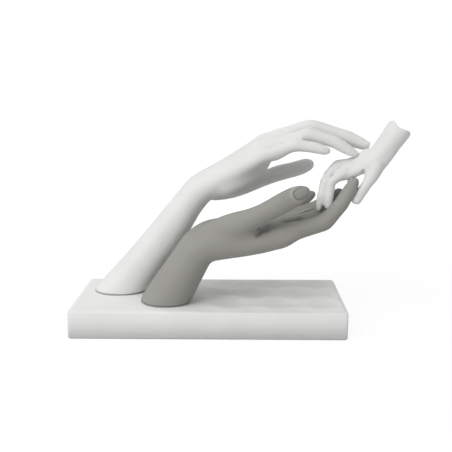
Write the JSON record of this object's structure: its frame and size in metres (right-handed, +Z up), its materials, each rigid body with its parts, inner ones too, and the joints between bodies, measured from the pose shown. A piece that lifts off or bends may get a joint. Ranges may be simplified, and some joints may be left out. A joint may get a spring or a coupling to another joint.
{
  "type": "ceramic hand sculpture",
  "caption": "Free-standing ceramic sculpture: two adult forearms rise from a rippled rectangular plinth and a small child's hand rests between their fingers.",
  "frame": {"origin": "middle of the plane under the felt sheet, below the middle of the plinth", "axes": "+X along the plinth, the way the hands reach; +Y from the front arm to the rear arm; +Z up"},
  "size_m": [0.365, 0.1322, 0.2296],
  "materials": {
    "white_ceramic": "unglazed, matt, warm white",
    "grey_ceramic": "unglazed, matt, mid grey",
    "casting_plaster": "matt casting plaster",
    "seat_rubber": "thin soft sheet, pale grey",
    "stainless_steel": "plain drawn rod",
    "zinc_steel": "bright zinc plated",
    "washer_rubber": "matt black",
    "grey_felt": "pressed felt"
  },
  "bodies": {
    "root": {"plinth": "white_ceramic", "front_arm": "grey_ceramic", "rear_arm": "white_ceramic", "child_hand": "white_ceramic", "front_foot_plug": "casting_plaster", "rear_foot_plug": "casting_plaster", "front_seat_gasket": "seat_rubber", "rear_seat_gasket": "seat_rubber", "finger_pin": "stainless_steel", "front_stud": "zinc_steel", "front_cushion_washer": "washer_rubber", "front_steel_washer": "zinc_steel", "front_nut": "zinc_steel", "rear_stud": "zinc_steel", "rear_cushion_washer": "washer_rubber", "rear_steel_washer": "zinc_steel", "rear_nut": "zinc_steel", "felt_base": "grey_felt"}
  },
  "joints": []
}
